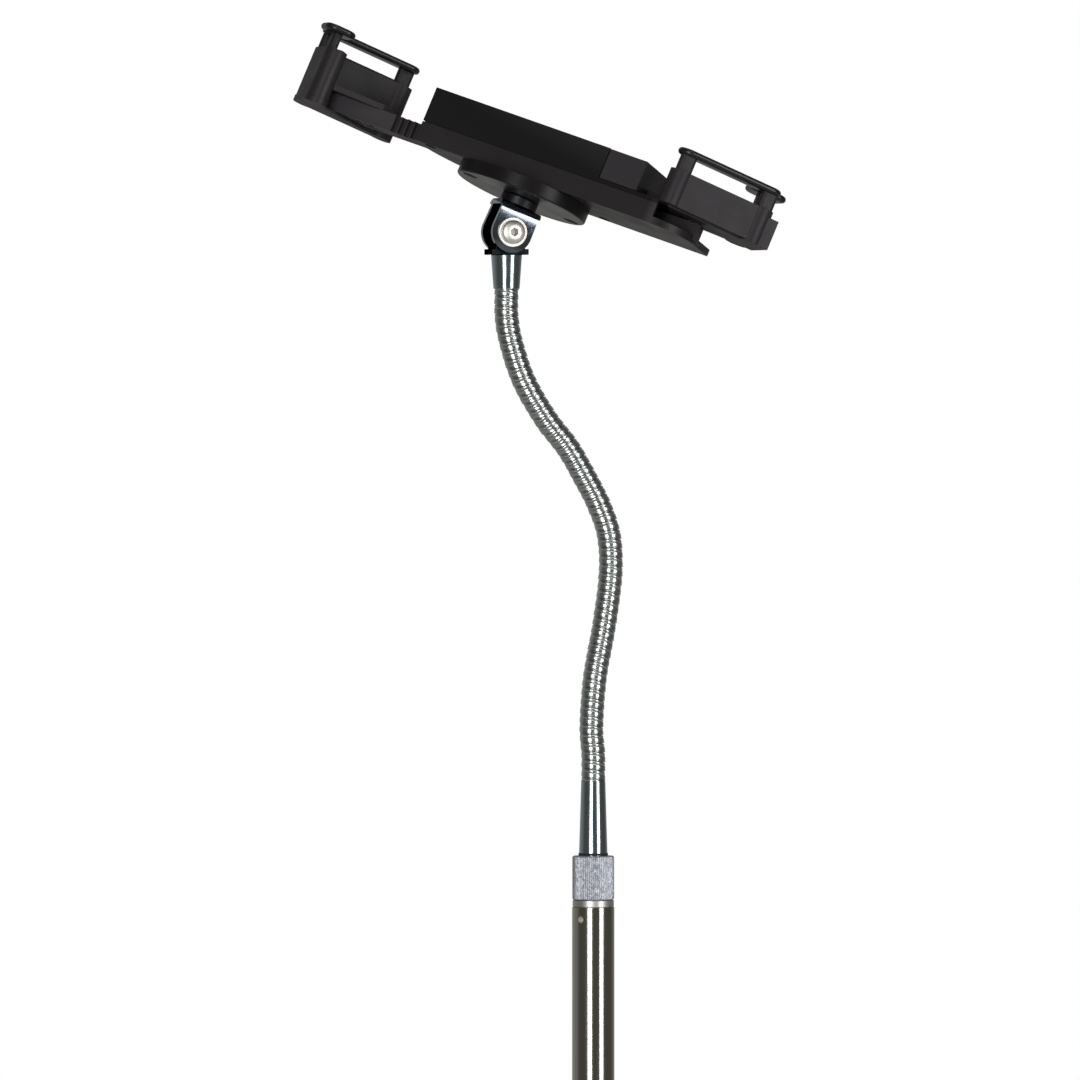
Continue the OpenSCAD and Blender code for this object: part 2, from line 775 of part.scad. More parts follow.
// Return spring of the right arm
function coil_at(u) = [spring_r * cos(u * 360), spring_r * sin(u * 360)];
module grip_spring() {
  start = spring_post_e + spring_post_r + spring_wire + room;
  span = slide_start - room - spring_wire - start;
  rings = spring_turns * 8;
  sides = 6;
  pitch = span / spring_turns;
  echo(spring_gap = pitch - 2 * spring_wire);
  points = [for (i = [0 : rings]) let (c = coil_at(i / 8), x = start + span * i / rings)
    each [for (k = [0 : sides - 1]) let (a = k * 360 / sides, r = spring_r + spring_wire * cos(a))
      [x + spring_wire * sin(a), c[0] / spring_r * r, c[1] / spring_r * r]]];
  walls = [for (i = [0 : rings - 1]) for (k = [0 : sides - 1])
    let (a = i * sides + k, b = i * sides + (k + 1) % sides) each [[a, b, a + sides], [b, b + sides, a + sides]]];
  caps = [[for (k = [sides - 1 : -1 : 0]) k], [for (k = [0 : sides - 1]) rings * sides + k]];
  color("#a9acaf") at_holder() translate([0, 0, (bay_z + bay_top) / 2])
    polyhedron(points, concat(walls, caps));
}

// Left arm: a bar with rack teeth along its near side
module left_arm() {
  near = rack_f - rack_w / 2;
  far = rack_f + rack_w / 2;
  count = floor((wall_end_e - 20 - teeth_from) / tooth_pitch);
  color("#2b2c2f") at_holder() difference() {
    translate([0, 0, rack_z]) linear_extrude(rack_h) difference() {
      polygon([[-rack_reach, near], [tail_e, near], [tail_e, tail_f], [rack_l - rack_reach, tail_f],
        [rack_l - rack_reach, far], [17 - rack_reach, far], [-rack_reach, near + 4]]);
      for (i = [0 : count - 1]) translate([teeth_from + (i + 0.5) * tooth_pitch, near]) polygon([
        [-tooth_pitch * 0.42, -0.1], [tooth_pitch * 0.42, -0.1], [tooth_pitch * 0.18, tooth_h],
        [-tooth_pitch * 0.18, tooth_h]]);
    }
    left_screw_places() {
      translate([0, 0, rack_z - eps]) cylinder(r = 3.5, h = 2.6);
      cylinder(d = jaw_screw_d + 2 * loose, h = rack_top + 1);
    }
  }
}

module left_screw_places() {
  for (i = [0, 1]) translate([17 - rack_reach + i * jaw_screw_gap, rack_f, 0]) children();
}

module left_jaw_screws() {
  color("#55585b") at_holder() left_screw_places() translate([0, 0, rack_z + 0.2])
    screw(3.3, 2.2, jaw_screw_d / 2, rack_h - 0.6);
}

// Corner jaw standing in the first quadrant, outer corner at the origin, walls along +x and +y
module jaw_walls(long_l, short_l, low_long, low_short) {
  jaw_wall(long_l, low_long, panel_in);
  mirror([1, -1, 0]) jaw_wall(short_l, low_short, 0);
  long_posts(long_l) lip_post();
  short_post(short_l) lip_post();
}

// One wall along +x: a round column at each end and a panel between them, set back on the outside by outer
module jaw_wall(l, low, outer) {
  half = jaw_t / 2;
  translate([0, 0, low]) linear_extrude(ledge_z - low) {
    for (x = [half, l - half]) translate([x, half]) circle(half);
    translate([half, outer]) square([l - jaw_t, jaw_t - panel_in - outer]);
  }
}

// Posts of a long lip on the columns, and the one of a short lip on its wall
post_y = lip_post_t / 2 + panel_in;
module long_posts(l) {
  for (x = [jaw_t / 2, l - jaw_t / 2]) translate([x, post_y, ledge_z]) children();
}

module short_post(l) {
  translate([post_y, short_lip_y(l), ledge_z]) rotate(90) children();
}

function short_lip_y(l) = (lip_w - lip_back + room + l) / 2;

module lip_post() {
  translate([-(lip_post_l - lip_post_t) / 2, 0, 0]) linear_extrude(slot_h)
    stadium(lip_post_l - lip_post_t, lip_post_t);
  cylinder(r = peg_r, h = slot_h + peg_h);
}

// Lip bar along +x over a long wall, seated on the pegs of its posts
module long_lip(l) {
  edge = 0.8;
  difference() {
    translate([lip_w / 2, lip_w / 2 - lip_back, lip_z]) {
      translate([0, 0, edge]) linear_extrude(lip_t - 2 * edge) stadium(l - lip_w, lip_w);
      linear_extrude(lip_t) stadium(l - lip_w, lip_w - 2 * edge);
    }
    long_posts(l) cylinder(r = peg_r + run, h = slot_h + peg_h + run);
  }
}

// Broad lip over a short wall, standing out past it
module short_lip(l, out) {
  edge = 0.8;
  wide = lip_w - lip_back + out;
  long = l - lip_w + lip_back - room;
  difference() {
    translate([wide / 2 - out, short_lip_y(l), lip_z]) {
      translate([0, 0, edge]) linear_extrude(lip_t - 2 * edge) round_plate(wide, long, lip_corner_r);
      linear_extrude(lip_t) round_plate(wide - 2 * edge, long - 2 * edge, lip_corner_r - edge);
    }
    short_post(l) cylinder(r = peg_r + run, h = slot_h + peg_h + run);
  }
}

module round_plate(w, l, r) {
  difference() {
    square([w, l], center = true);
    for (a = [0 : 90 : 270]) rotate(a)
      translate([(a % 180 == 0 ? w : l) / 2 - r, (a % 180 == 0 ? l : w) / 2 - r]) corner_waste(r);
  }
}

module grip_pads(long_l, short_l) {
  inner = post_y + lip_post_t / 2 + room;
  wide = jaw_t - inner - panel_in - room;
  from = jaw_t + 2;
  translate([from, inner + wide / 2, ledge_z]) linear_extrude(pad_t) stadium(long_l - jaw_t - from, wide);
  translate([inner + wide / 2, from, ledge_z]) linear_extrude(pad_t) rotate(90)
    stadium(short_l - jaw_t / 2 - from, wide);
}

// The left jaw holds the far left corner, the right jaw the near right one
module left_place() { at_jaws() translate([-left_p, left_q, 0]) mirror([0, 1, 0]) children(); }
module right_place() { at_jaws() translate([right_p, -right_q, 0]) mirror([1, 0, 0]) children(); }

module left_jaw() {
  half = jaw_t / 2;
  inner_e = left_plate_reach - rack_reach;
  near = to_jaw(inner_e, rack_f - rack_w / 2);
  far = to_jaw(inner_e, rack_f + rack_w / 2);
  color("#232427") difference() {
    union() {
      left_place() jaw_walls(left_long_l, left_short_l, 0, 0);
      left_place() translate([half, half, 0]) linear_extrude(plinth_h) rotate(90)
        stadium(left_short_l - jaw_t, jaw_t + 2 * plinth_out);
      at_jaws() linear_extrude(shell_floor) polygon([[half - left_p, left_q - left_short_l + half],
        [half - left_p, left_q - half], [left_long_l - half - left_p, left_q - half]]);
      at_jaws() translate([0, 0, left_plate_z]) linear_extrude(plate_t + 0.6) polygon([
        [half - left_p, left_q - left_short_l + half], [half - left_p, left_q - half],
        [left_long_l - half - left_p, left_q - half], far, near]);
    }
    at_holder() left_screw_places() cylinder(d = jaw_screw_d + 2 * run, h = rack_top + 2.2);
  }
}

module left_long_lip() { color("#141517") left_place() long_lip(left_long_l); }
module left_short_lip() { color("#141517") left_place() short_lip(left_short_l, left_lip_out); }
module left_grip_pads() { color("#2e2f31") left_place() grip_pads(left_long_l, left_short_l); }

// Right arm: a slide in the upper bay, a head that closes the housing and a tongue under the jaw
module right_arm() {
  slide_h = bay_top - bay_z - 2 * room;
  color("#2f3033") at_holder() difference() {
    union() {
      translate([slide_start, -bay_w / 2 + room, bay_z + room])
        cube([arm_head_e - slide_start + 1, bay_w - 2 * room, slide_h]);
      translate([0, 0, bay_z + room]) linear_extrude(shell_top - bay_z - room - 0.2) intersection() {
        shell_plan(0.4);
        translate([arm_head_e, -shell_w]) square([arm_head_end - arm_head_e, 2 * shell_w]);
      }
      translate([arm_head_end - 1, tongue_f - tongue_w / 2, bay_z + room])
        cube([right_reach - arm_head_end + 1, tongue_w, tongue_t]);
    }
    right_screw_places() cylinder(d = jaw_screw_d + 2 * run, h = bay_z + room + tongue_t - 0.8);
  }
}

module right_screw_places() {
  for (i = [0, 1]) translate([right_reach - 5 - i * jaw_screw_gap, tongue_f, 0]) children();
}

module right_jaw_screws() {
  color("#55585b") at_holder() right_screw_places() translate([0, 0, right_plate_z + 0.1])
    screw(3.3, 1.3, jaw_screw_d / 2, tongue_t - 0.4);
}

module right_jaw() {
  half = jaw_t / 2;
  inner_e = right_reach - plate_reach;
  near = to_jaw(inner_e, tongue_f - tongue_w / 2);
  far = to_jaw(inner_e, tongue_f + tongue_w / 2);
  color("#232427") difference() {
    union() {
      right_place() jaw_walls(right_long_l, right_short_l, right_wall_z, right_plate_z);
      right_place() translate([-bumper_t, panel_in, right_plate_z])
        cube([bumper_t + half, right_short_l - panel_in - half, bumper_top - right_plate_z]);
      at_jaws() translate([0, 0, right_plate_z]) linear_extrude(plate_t) polygon([
        [right_p - half, right_short_l - half - right_q], [right_p - half, half - right_q],
        [right_p - right_long_l + half, half - right_q], near, far]);
    }
    at_holder() right_screw_places() {
      cylinder(r = 3.5, h = right_plate_z + 1.5);
      cylinder(d = jaw_screw_d + 2 * loose, h = bay_z + 1);
    }
  }
}

module right_long_lip() { color("#141517") right_place() long_lip(right_long_l); }
module right_short_lip() { color("#141517") right_place() short_lip(right_short_l, right_lip_out); }
module right_grip_pads() { color("#2e2f31") right_place() grip_pads(right_long_l, right_short_l); }

base_feet();
base_weight();
base_cover();
base_washer();
base_bolt();
tube_plug();
lower_tube();
lock_sleeve();
clutch_bush();
lock_collar();
guide_bush();
upper_tube();
pole_plug();
plug_screw();
knurled_collar();
collar_ring();
lower_ferrule();
gooseneck();
upper_ferrule();
knuckle_lug();
clevis();
pivot_bolt();
pivot_washers();
pivot_nut();
swivel_post();
post_screw();
swivel_washer();
swivel_screw();
mount_disc();
disc_screws();
lower_shell();
upper_shell();
shell_screws();
detent_spring();
grip_spring();
left_arm();
left_jaw();
left_jaw_screws();
left_long_lip();
left_short_lip();
left_grip_pads();
right_arm();
right_jaw();
right_jaw_screws();
right_long_lip();
right_short_lip();
right_grip_pads();
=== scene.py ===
import bmesh
import bpy
import json
import math
import numpy as np
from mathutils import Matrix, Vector


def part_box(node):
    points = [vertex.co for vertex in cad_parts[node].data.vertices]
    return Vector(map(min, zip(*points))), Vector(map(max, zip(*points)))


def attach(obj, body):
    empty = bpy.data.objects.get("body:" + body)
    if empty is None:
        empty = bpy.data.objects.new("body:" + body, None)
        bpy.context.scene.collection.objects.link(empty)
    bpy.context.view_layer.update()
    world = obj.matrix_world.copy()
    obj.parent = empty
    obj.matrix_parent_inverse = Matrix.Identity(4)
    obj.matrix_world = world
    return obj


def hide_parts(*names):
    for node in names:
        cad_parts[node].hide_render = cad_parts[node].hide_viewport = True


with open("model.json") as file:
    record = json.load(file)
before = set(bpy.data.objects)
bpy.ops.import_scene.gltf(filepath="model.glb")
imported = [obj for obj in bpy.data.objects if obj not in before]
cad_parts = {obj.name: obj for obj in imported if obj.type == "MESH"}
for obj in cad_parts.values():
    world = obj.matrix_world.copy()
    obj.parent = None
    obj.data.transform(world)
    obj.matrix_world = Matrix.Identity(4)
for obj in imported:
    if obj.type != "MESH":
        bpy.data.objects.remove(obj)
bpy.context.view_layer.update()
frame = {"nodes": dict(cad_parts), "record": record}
nodes = frame["nodes"]
mm = 0.001


# Camera: almost level with the neck, a long lens from far off, the head in the upper half of the frame
cameraPlan = {
    "azimuth": -17.0, "elevation": 1.0, "distance": 6.0, "clipEnd": 100.0,
    "target": (-0.0292, 0.0, 0.9509), "frameWidth": 0.5654, "sensor": 36.0,
}


def setCamera(plan):
    az = math.radians(plan["azimuth"])
    el = math.radians(plan["elevation"])
    away = Vector((math.sin(az) * math.cos(el), -math.cos(az) * math.cos(el), math.sin(el)))
    data = bpy.data.cameras.new("camera")
    data.sensor_fit = "HORIZONTAL"
    data.sensor_width = plan["sensor"]
    data.lens = plan["sensor"] * plan["distance"] / plan["frameWidth"]
    data.clip_end = plan["clipEnd"]
    camera = bpy.data.objects.new("camera", data)
    bpy.context.scene.collection.objects.link(camera)
    camera.location = Vector(plan["target"]) + away * plan["distance"]
    camera.rotation_euler = away.to_track_quat("Z", "Y").to_euler()
    bpy.context.scene.camera = camera


setCamera(cameraPlan)
bpy.context.scene.view_settings.view_transform = "Standard"
print("camera set")


# The head leans about the pivot bolt: the bolt's place and the deck's height over it in mm, the lean in
# degrees
headPlace = {"x": -47.5, "pinZ": 1111.9, "deck": 26.6, "lean": 23.4}
headUp = (math.sin(math.radians(headPlace["lean"])), 0.0, math.cos(math.radians(headPlace["lean"])))


# The point so many mm over the pivot bolt, along the head's own up
def overBolt(rise):
    return (headPlace["x"] + rise * headUp[0], 0.0, headPlace["pinZ"] + rise * headUp[2])


# Colours are written as sRGB hex and turned to the linear values that shaders take
def hexToLinear(text):
    parts = [int(text[i:i + 2], 16) / 255 for i in (1, 3, 5)]
    linear = [c / 12.92 if c <= 0.04045 else ((c + 0.055) / 1.055) ** 2.4 for c in parts]
    return (*linear, 1.0)


# Adds one node: settings go to its fields or its input sockets, links join its inputs to other outputs
def addNode(tree, kind, settings=None, links=None):
    node = tree.nodes.new(kind)
    for key, value in (settings or {}).items():
        if isinstance(key, str) and hasattr(node, key):
            setattr(node, key, value)
        else:
            node.inputs[key].default_value = value
    for key, output in (links or {}).items():
        tree.links.new(output, node.inputs[key])
    return node


def newMaterial(name):
    material = bpy.data.materials.new(name)
    material.use_nodes = True
    tree = material.node_tree
    tree.nodes.clear()
    shader = addNode(tree, "ShaderNodeBsdfPrincipled")
    addNode(tree, "ShaderNodeOutputMaterial", links={"Surface": shader.outputs["BSDF"]})
    where = addNode(tree, "ShaderNodeTexCoord").outputs["Object"]
    return material, tree, shader, where


# Noise with grains about so many mm across
def noise(tree, where, sizeMm, detail):
    return addNode(tree, "ShaderNodeTexNoise", {"Scale": 1 / (sizeMm * mm), "Detail": detail},
                   {"Vector": where}).outputs["Fac"]


# Carries a value from one span to another, held at the ends
def remap(tree, value, fromSpan, toSpan):
    return addNode(tree, "ShaderNodeMapRange", {"From Min": fromSpan[0], "From Max": fromSpan[1],
                                                "To Min": toSpan[0], "To Max": toSpan[1]},
                   {"Value": value}).outputs["Result"]


# Mixes a tone into another by a share; the first may be a hex text or another node's output
def mixTones(tree, share, first, second):
    settings = {"data_type": "RGBA", 7: hexToLinear(second)}
    links = {0: share}
    if isinstance(first, str):
        settings[6] = hexToLinear(first)
    else:
        links[6] = first
    return addNode(tree, "ShaderNodeMix", settings, links).outputs[2]


# Bump of a height field, over another one where given
def relief(tree, height, depth, under=None, invert=False):
    links = {"Height": height}
    if under:
        links["Normal"] = under
    return addNode(tree, "ShaderNodeBump", {"invert": invert, "Strength": 1.0, "Distance": depth},
                   links).outputs["Normal"]


# How far along a direction the surface lies from a point, which is given in mm; the distance is in metres
def distanceAlong(tree, where, point, direction):
    away = addNode(tree, "ShaderNodeVectorMath", {"operation": "SUBTRACT", 1: [v * mm for v in point]},
                   {0: where}).outputs[0]
    return addNode(tree, "ShaderNodeVectorMath", {"operation": "DOT_PRODUCT", 1: direction},
                   {0: away}).outputs["Value"]


def pointiness(tree):
    return addNode(tree, "ShaderNodeNewGeometry").outputs["Pointiness"]


def dress(tree, shader, colour, rough, normal):
    tree.links.new(colour, shader.inputs["Base Color"])
    tree.links.new(rough, shader.inputs["Roughness"])
    tree.links.new(normal, shader.inputs["Normal"])


# Spans of noise that cover nearly all of it, or its middle only; the whole runs from 0 to 1
noiseSpan = {"most": (0.3, 0.7), "middle": (0.35, 0.65), "whole": (0.0, 1.0)}
# The grey given here darkens sockets and corners of plated steel: painted shade, and its share is how far
steelMarks = {"streakDetail": 3.0, "waveDetail": 1.0, "hollowShade": "#3a3a3c", "hollowShadeShare": 0.8}
plasticMarks = {
    "patchMm": 16.0, "patchDetail": 4.0, "grainDetail": 2.0, "wornAt": (0.53, 0.66), "wornShare": 0.7,
}
knurlMarks = {"cloudMm": 1.6, "cloudDetail": 3.0}


# Plated steel: a mirror skin over the polisher's marks. Long faint streaks shift tone and gloss, and a slow
# wave, as on any drawn tube or pressed sheet, bends the reflections a little. Sockets and corners are
# darkened towards grey where pointiness is low: painted shade. Pressed sheet bows out a little across a line
# through its dome's centre.
def platedSteel(name, tone, streakTone, gloss, streakMm, stretch, waveMm, waveDepth, dome=None,
                edge="#ffffff", shadedHollowSpan=(0.38, 0.47)):
    material, tree, shader, where = newMaterial(name)
    along = addNode(tree, "ShaderNodeMapping", {"Scale": (1.0, 1.0, 1.0 / stretch)}, {"Vector": where})
    streak = noise(tree, along.outputs["Vector"], streakMm, steelMarks["streakDetail"])
    colour = mixTones(tree, streak, tone, streakTone)
    rough = remap(tree, streak, noiseSpan["most"], gloss)
    bend = relief(tree, noise(tree, where, waveMm, steelMarks["waveDetail"]), waveDepth * mm)
    if dome:
        across = distanceAlong(tree, where, dome["centre"], dome["across"])
        square = addNode(tree, "ShaderNodeMath", {"operation": "MULTIPLY"}, {0: across, 1: across})
        bend = relief(tree, square.outputs[0], dome["bow"], bend, invert=True)
    # Painted shade: where pointiness is low, in sockets and corners, the colour is mixed towards the dark grey
    paintedHollowShade = remap(tree, pointiness(tree), shadedHollowSpan, (steelMarks["hollowShadeShare"], 0.0))
    dress(tree, shader, mixTones(tree, paintedHollowShade, colour, steelMarks["hollowShade"]), rough, bend)
    shader.inputs["Metallic"].default_value = 1.0
    shader.inputs["Specular Tint"].default_value = hexToLinear(edge)
    return material


# Moulded plastic: the spark-eroded mould leaves a fine even grain, drawn a little coarse so that it shows,
# handling shines it in patches, and edges that rub are a shade paler. A face that the mould polished shines
# more. Raw castings and powder coat have the same marks.
def mouldedPlastic(name, tone, patchTone, wornTone, gloss, grainMm, grainDepth, specular, polished=None):
    material, tree, shader, where = newMaterial(name)
    patch = noise(tree, where, plasticMarks["patchMm"], plasticMarks["patchDetail"])
    colour = mixTones(tree, patch, tone, patchTone)
    worn = remap(tree, pointiness(tree), plasticMarks["wornAt"], (0.0, plasticMarks["wornShare"]))
    rough = remap(tree, patch, noiseSpan["most"], gloss)
    grain = noise(tree, where, grainMm, plasticMarks["grainDetail"])
    dress(tree, shader, mixTones(tree, worn, colour, wornTone), rough, relief(tree, grain, grainDepth * mm))
    shader.inputs["Specular IOR Level"].default_value = specular
    if polished:
        above = distanceAlong(tree, where, polished["point"], polished["up"])
        shine = remap(tree, above, (0.0, polished["depth"] * mm), (polished["specular"], specular))
        tree.links.new(shine, shader.inputs["Specular IOR Level"])
    return material


# Knurled aluminium: cut by a wheel, so torn bright and dull specks lie side by side and nothing mirrors
def knurledAluminium(name, tone, dullTone, gloss, speckMm, speckDepth):
    material, tree, shader, where = newMaterial(name)
    speck = addNode(tree, "ShaderNodeTexVoronoi", {"Scale": 1 / (speckMm * mm)}, {"Vector": where})
    cloud = noise(tree, where, knurlMarks["cloudMm"], knurlMarks["cloudDetail"])
    mark = remap(tree, cloud, noiseSpan["middle"], noiseSpan["whole"])
    rough = remap(tree, cloud, noiseSpan["whole"], gloss)
    pits = relief(tree, speck.outputs["Distance"], speckDepth * mm)
    dress(tree, shader, mixTones(tree, mark, tone, dullTone), rough, pits)
    shader.inputs["Metallic"].default_value = 1.0
    return material


# The clevis's cheek bows towards its fold, and the disc's underside came from a polished mould face. That face
# is taken a hair high, so that rounding can't lose it.
clevisDome = {"centre": (-46.4, -10.7, 1115.6), "across": (-0.36, 0.0, -0.933), "bow": 8.0}
discFace = {"point": overBolt(19.32), "up": headUp, "depth": 0.3, "specular": 0.9}
# Steel: tone, streak tone, gloss, streak mm, stretch, wave mm, wave depth mm
# Plastic: tone, patch tone, worn tone, gloss, grain mm, grain depth mm, specular
finishes = {
    "nickelTube": platedSteel(
        "nickelPlatedTube", "#cbc7bb", "#bdb9ae", (0.1, 0.16), 1.2, 60.0, 40.0, 0.1),
    "satinSteel": platedSteel(
        "turnedSteelSatin", "#e2e0da", "#cfcdc7", (0.36, 0.48), 0.6, 0.2, 8.0, 0.05),
    "blueChrome": platedSteel(
        "chromedSteelTurned", "#c6d2d9", "#b2bfc8", (0.12, 0.2), 1.5, 20.0, 12.0, 0.12),
    "sheetChrome": platedSteel(
        "chromedSteelPressed", "#9da7b6", "#8d97a6", (0.06, 0.11), 3.0, 1.0, 22.0, 0.02, dome=clevisDome),
    "washerNickel": platedSteel(
        "nickelPlatedWasher", "#f8f5f0", "#ece8e1", (0.42, 0.55), 0.7, 1.0, 6.0, 0.05),
    # The bolt's hex socket is darkened over a wider span of pointiness: more painted shade
    "boltNickel": platedSteel(
        "nickelPlatedBolt", "#f8f5f0", "#ece8e1", (0.42, 0.55), 0.7, 1.0, 6.0, 0.05, shadedHollowSpan=(0.44, 0.5)),
    "hoseChrome": platedSteel(
        "chromedSteelWoundStrip", "#e4e6e3", "#c0c7ca", (0.18, 0.28), 2.2, 1.0, 4.0, 0.05),
    "zincSteel": platedSteel(
        "zincPlatedSteel", "#a8abad", "#8e9294", (0.25, 0.4), 2.0, 1.0, 5.0, 0.05),
    "springSteel": platedSteel(
        "springSteelBright", "#b5b7b9", "#9c9fa1", (0.2, 0.3), 2.0, 1.0, 5.0, 0.05),
    # A near-black copy of chrome for the knuckle lug, with a dark edge tint: painted shade and painted dark
    # reflection
    "shadedLugChrome": platedSteel(
        "chromedSteelCastPaintedShade", "#2b2f33", "#24272a", (0.12, 0.2), 3.0, 1.0, 9.0, 0.1, edge="#3c3c3e"),
    "blackSteel": platedSteel(
        "blackOxideSteel", "#46474a", "#333436", (0.35, 0.5), 1.5, 1.0, 5.0, 0.05),
    "knurlAluminium": knurledAluminium(
        "aluminiumKnurled", "#dadce4", "#b6b9c2", (0.4, 0.65), speckMm=0.7, speckDepth=0.12),
    "castIron": mouldedPlastic(
        "castIronRaw", "#4a4a4a", "#3a3937", "#5c5a57", (0.6, 0.8), 1.2, 0.25, 0.5),
    "powderCoat": mouldedPlastic(
        "powderCoatedSteel", "#242527", "#1e1f21", "#2e2f31", (0.35, 0.45), 0.9, 0.05, 0.4),
    "blackAbs": mouldedPlastic(
        "absMouldedBlack", "#1e1a1d", "#181517", "#343134", (0.34, 0.44), 0.8, 0.02, 0.28),
    # A darker copy of the black ABS for the upper shell: painted shade, as if a tablet above shadowed it
    "shadedAbs": mouldedPlastic(
        "absMouldedBlackPaintedShade", "#110f10", "#0d0b0d", "#272527", (0.42, 0.52), 0.8, 0.02, 0.16),
    "discAbs": mouldedPlastic(
        "absMouldedSemiGloss", "#171516", "#121011", "#2a2829", (0.27, 0.35), 0.8, 0.01, 0.18, discFace),
    "greyAbs": mouldedPlastic(
        "absMouldedCharcoal", "#272326", "#201d20", "#3d393c", (0.4, 0.52), 0.8, 0.03, 0.28),
    "glossAbs": mouldedPlastic(
        "absPolishedBlack", "#17171a", "#121214", "#202023", (0.26, 0.34), 6.0, 0.01, 0.5),
    "rubber": mouldedPlastic(
        "rubberMouldedBlack", "#1e1e1f", "#171717", "#2a2a2b", (0.7, 0.85), 0.8, 0.05, 0.3),
    "acetal": mouldedPlastic(
        "acetalNatural", "#d9d6cc", "#cfcbbf", "#e2dfd6", (0.35, 0.5), 3.0, 0.02, 0.5),
}
slotFinish = {
    "nickel": "nickelTube", "satin_steel": "satinSteel", "satin_nickel": "washerNickel",
    "charcoal_abs": "greyAbs", "chrome": "blueChrome", "neck_chrome": "hoseChrome", "zinc": "zincSteel",
    "spring_steel": "springSteel", "black_steel": "blackSteel", "aluminium": "knurlAluminium",
    "iron": "castIron", "powder_coat": "powderCoat", "black_abs": "blackAbs", "gloss_abs": "glossAbs",
    "rubber": "rubber", "white_acetal": "acetal",
}
# Pieces whose finish differs from the rest of their slot. The upper shell's and the lug's are darker copies:
# painted shade
ownFinish = {
    "clevis": "sheetChrome", "knuckle_lug": "shadedLugChrome", "mount_disc": "discAbs", "upper_shell": "shadedAbs",
    "plug_screw": "washerNickel", "pivot_bolt": "boltNickel",
}
nodeSlots = {part["node"]: part["material_slot"] for part in frame["record"]["subparts"]}
nodeFinish = {name: finishes[ownFinish.get(name, slotFinish[slot])] for name, slot in nodeSlots.items()}
bodyOf = {name: body for body, names in frame["record"]["behaviour"]["bodies"].items() for name in names}
for name, node in nodes.items():
    node.data.materials.clear()
    node.data.materials.append(nodeFinish[name])
print("materials set:", len(finishes))


# A surface from a grid of points; either way round may close on itself. In a winding, each row that closes the
# first way meets the first row so many points back.
def gridPiece(name, points, wrapU=False, wrapV=False, winding=0):
    nu, nv = points.shape[:2]
    rows = np.arange(nu if wrapU else nu - 1)
    columns = np.arange(nv if wrapV else nv - 1)
    i, j = np.meshgrid(rows, columns, indexing="ij")
    nextI = (i + 1) % nu
    nextJ = (j + 1) % nv
    back = np.where(nextI == 0, winding, 0)
    corners = [i * nv + j, nextI * nv + j - back, nextI * nv + nextJ - back, i * nv + nextJ]
    faces = np.stack(corners, -1)[j >= back]
    mesh = bpy.data.meshes.new(name)
    mesh.from_pydata(points.reshape(-1, 3).tolist(), [], faces.tolist())
    mesh.update()
    piece = bpy.data.objects.new(name, mesh)
    bpy.context.scene.collection.objects.link(piece)
    return piece


# Points nearer than this, in metres, are one point
weldGap = 2e-6


# Points that coincide become one, and where asked, holes are filled and faces turned outwards
def weld(mesh, fill=False):
    work = bmesh.new()
    work.from_mesh(mesh)
    bmesh.ops.remove_doubles(work, verts=work.verts, dist=weldGap)
    if fill:
        bmesh.ops.holes_fill(work, edges=work.edges, sides=0)
        bmesh.ops.recalc_face_normals(work, faces=work.faces)
    work.to_mesh(mesh)
    work.free()


# Smooth shading, broken where faces meet at more than so many degrees
def smoothUpTo(mesh, degrees):
    mesh.shade_smooth()
    mesh.set_sharp_from_angle(angle=math.radians(degrees))


# A made piece takes the finish, slot and body of the node that it stands for
def standFor(piece, node):
    piece.data.materials.append(nodeFinish[node])
    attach(piece, bodyOf[node])
    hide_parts(node)
    return piece


# Broken edges: moulded, pressed and turned pieces have no knife edges. Widths of the edges are in mm.
edgeWidths = {
    "lower_shell": 0.3, "upper_shell": 0.6, "left_arm": 0.3, "right_arm": 0.5, "left_jaw": 0.5,
    "right_jaw": 0.5, "mount_disc": 0.35, "swivel_post": 0.4, "clevis": 0.7, "upper_tube": 0.4,
    "plug_screw": 0.3, "knuckle_lug": 0.5, "pivot_bolt": 0.35, "pivot_washers": 0.3, "pivot_nut": 0.3,
    "lock_collar": 0.5, "upper_ferrule": 0.3, "base_feet": 0.6, "left_grip_pads": 0.25,
    "right_grip_pads": 0.25,
}
# Bent sheet is rounder along its folds, where the face that looks this way up meets the sides
folds = {"clevis": {"width": 3.0, "up": headUp}}
# Angles in degrees: under flatAngle two faces are one flat area, over sharpAngle they meet at an edge
edging = {"flatAngle": 0.5, "sharpAngle": 30.0, "facing": 0.99, "steps": 3, "foldSteps": 5, "flatWeight": 100}


